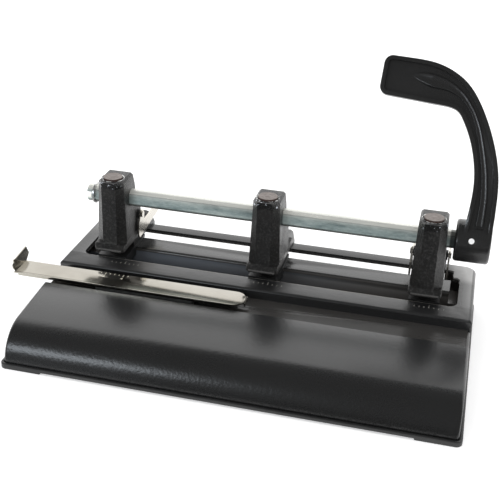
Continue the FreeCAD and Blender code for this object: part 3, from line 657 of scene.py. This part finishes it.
def nickel(name, dull, bright, rough):
    finish = Finish(name)
    lines = finish.noise(700.0, 3.0, 0.6, finish.stretched(0.05, 1.0, 1.0))
    cloud = finish.noise(40.0, 3.0)
    tone = finish.ramp(cloud, [(0.3, dull), (0.7, bright)])
    y, z = finish.axes()[1:]
    # a thin dark line of painted shade stands for a bending crease just behind the guide's front edge
    crease_shade = (finish.before(y, crease_y + crease_half, 0.2) * finish.beyond(y, crease_y - crease_half, 0.2)
              * finish.beyond(z, guide_top - 0.35, 0.3) * finish.before(z, guide_top + 0.15, 0.1))
    tone = finish.blend(crease_shade * 0.7, tone, (0.06, 0.055, 0.045))
    return finish.surface(Base_Color=tone, Metallic=1.0, Roughness=lines * 0.05 + cloud * 0.04 + rough,
                          Normal=finish.bump(lines, 0.003))


latch_nickel = nickel("bright_nickel", (0.62, 0.59, 0.53), (0.74, 0.71, 0.65), rough=0.20)
guide_nickel = nickel("satin_nickel", (0.38, 0.357, 0.31), (0.45, 0.428, 0.378), rough=0.11)
for place in ("left", "right"):
    dress("latch_" + place, latch_nickel)
    dress("latch_pin_" + place, latch_nickel)
rolled("guide_slide", "plated_guide", "guide", guide_nickel, width=0.25)


# ---- Scale marks ------------------------------------------------------------
# Fine division marks an eighth of an inch apart, filled with pale paint: one row
# on the deck in front of each head, and one with two figures on the guide.
division, long_every = 3.175, 4
mark_height, mark_sunk = 0.02, 0.02
digit_height, digit_share, digit_relief = 2.4, 0.7, 0.01


def mark_paint(name, colour, rough):
    finish = Finish(name)
    wear_and_glare = finish.noise(1600.0, 3.0, 0.6)
    tone = finish.ramp(wear_and_glare, [(0.25, tuple(part * 0.45 for part in colour)), (0.50, colour)])
    return finish.surface(Base_Color=tone, Roughness=wear_and_glare * 0.2 + rough, Normal=finish.bump(wear_and_glare, 0.020))


def marks(name, zero, steps, half_x, half_y, long_share, long_shift, z, material, body):
    """Low blocks with sloping sides, one division apart from the zero mark's (x, y): four corners below,
    four drawn in above.  The zero mark and every fourth one are longer by the share and shifted in y."""
    corner = np.array([(-1, -1), (1, -1), (1, 1), (-1, 1)], float)
    stacks = []
    for number in steps:
        longer, shift = (1.0, 0.0) if number % long_every else (long_share, long_shift)
        centre = [zero[0] + number * division, zero[1] + shift]
        foot = corner * [half_x, half_y * longer] + centre
        top = corner * [half_x * 0.6, half_y * longer * 0.92] + centre
        stacks.append(np.stack([np.column_stack([foot, np.full(4, z - mark_sunk)]),
                                np.column_stack([top, np.full(4, z + mark_height)])]) / 1000)
    piece = skin(name, stacks, material, sharp=20.0)
    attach(piece, body)
    return piece


def figure(name, text, x, y, z, material, body):
    """A plain number: the font's own outline made into a low solid, its lower left corner at (x, y).
    A digit's height is a fixed share of the font's size."""
    curve = bpy.data.curves.new(name, "FONT")
    curve.body, curve.resolution_u = text, 3
    curve.size, curve.extrude = digit_height / digit_share / 1000, digit_relief / 1000
    model = linked(name + "_outline", curve)
    mesh = bpy.data.meshes.new_from_object(model)
    bpy.data.objects.remove(model)
    mesh.transform(Matrix.Translation((x / 1000, y / 1000, z / 1000)))
    mesh.materials.clear()
    mesh.materials.append(material)
    piece = linked(name, mesh)
    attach(piece, body)
    return piece


deck_paint = mark_paint("pale_mark_paint", (0.40, 0.39, 0.35), rough=0.5)
guide_paint = mark_paint("struck_marks", (0.80, 0.76, 0.62), rough=0.4)
deck_zero = {"left": -96.0, "middle": 5.0, "right": 112.0}
for place in places:
    row = marks("deck_marks_" + place, (deck_zero[place], -13.4), range(-3, 4), half_x=0.20, half_y=0.95,
                long_share=2.0, long_shift=1.0, z=deck_top, material=deck_paint, body="base")
row = marks("guide_marks", (-103.4, -30.2), range(-1, 6), half_x=0.28, half_y=0.75,
            long_share=1.9, long_shift=-0.4, z=guide_top, material=guide_paint, body="guide")
for number, text in enumerate(("3", "4")):
    digit = figure("guide_number_" + text, text, x=-104.3 + number * long_every * division, y=-35.6,
                   z=guide_top + digit_relief, material=guide_paint, body="guide")


# ---- Studio -----------------------------------------------------------------
# A pale floor and a white surround.  Shiny surfaces see it bright behind the
# machine and dark overhead and in front, as in a tent with a black ceiling.  One
# soft lamp stands at the front left.
def pale_floor():
    finish = Finish("pale_floor")
    soft = finish.noise(3.0, 2.0)
    return finish.surface(Base_Color=finish.ramp(soft, [(0.2, grey(0.93)), (0.8, grey(0.95))]), Roughness=1.0,
                          Emission_Color=(1.0, 1.0, 1.0, 1.0), Emission_Strength=0.36)


def sheet(name, low, high, z, material):
    """A flat rectangle between two corners, in metres."""
    mesh = bpy.data.meshes.new(name)
    mesh.from_pydata([(low[0], low[1], z), (high[0], low[1], z), (high[0], high[1], z), (low[0], high[1], z)],
                     [], [(0, 1, 2, 3)])
    mesh.materials.append(material)
    piece = linked(name, mesh)
    return piece


sheet("floor", (-8.0, -8.0), (8.0, 8.0), 0.0, pale_floor())
# only reflections see the card, which darkens what the front of the machine mirrors
card = sheet("dark_card", (-1.5, -2.4), (1.5, -0.125), 0.0004, dark_steel)
card.visible_camera = card.visible_diffuse = card.visible_shadow = False


class Sky(Finish):
    """The surround's nodes, built like a finish's."""

    def __init__(self, tree):
        self.tree = tree
        tree.nodes.clear()
        self.place = self.node("ShaderNodeTexCoord", {}, {}, "Generated")


world = bpy.data.worlds.new("surround")
bpy.context.scene.world = world
world.use_nodes = True
sky = Sky(world.node_tree)
# the parts of a direction along each axis, from -1 to 1
x, y, z = sky.axes()
behind = sky.step(y, 0.02, 0.30)
overhead = sky.step(z, 0.785, 0.85)
left_wall = sky.step(x * -1.0, 0.45, 0.75) * sky.step(z, 0.20, 0.45) * (1.0 - overhead)
bright = (behind * (1.0 - overhead) + left_wall * 0.12).clamped()
mirrored = sky.blend(bright, grey(0.16), grey(1.45))
path = sky.node("ShaderNodeLightPath", {}, {}, "Is Glossy Ray")
shade = sky.blend(path, grey(1.0), mirrored)
glow = sky.node("ShaderNodeBackground", {}, {"Color": shade, "Strength": 1.0})
end = world.node_tree.nodes.new("ShaderNodeOutputWorld")
world.node_tree.links.new(glow.socket, end.inputs["Surface"])

softbox = bpy.data.lights.new("front_left_softbox", "AREA")
softbox.shape, softbox.size, softbox.size_y = "RECTANGLE", 0.5, 0.25
softbox.energy, softbox.color = 2.6, (0.86, 0.93, 1.0)
lamp = linked("front_left_softbox", softbox)
lamp_at, aim = np.array([-0.66, -1.12, 0.49]), np.array([-0.13, -0.105, 0.014])
back = (lamp_at - aim) / np.linalg.norm(lamp_at - aim)
side = np.cross([0.0, 0.0, 1.0], back)
side /= np.linalg.norm(side)
stand(lamp, side, np.cross(back, side), back, lamp_at)

bpy.context.scene.view_settings.view_transform = "Standard"
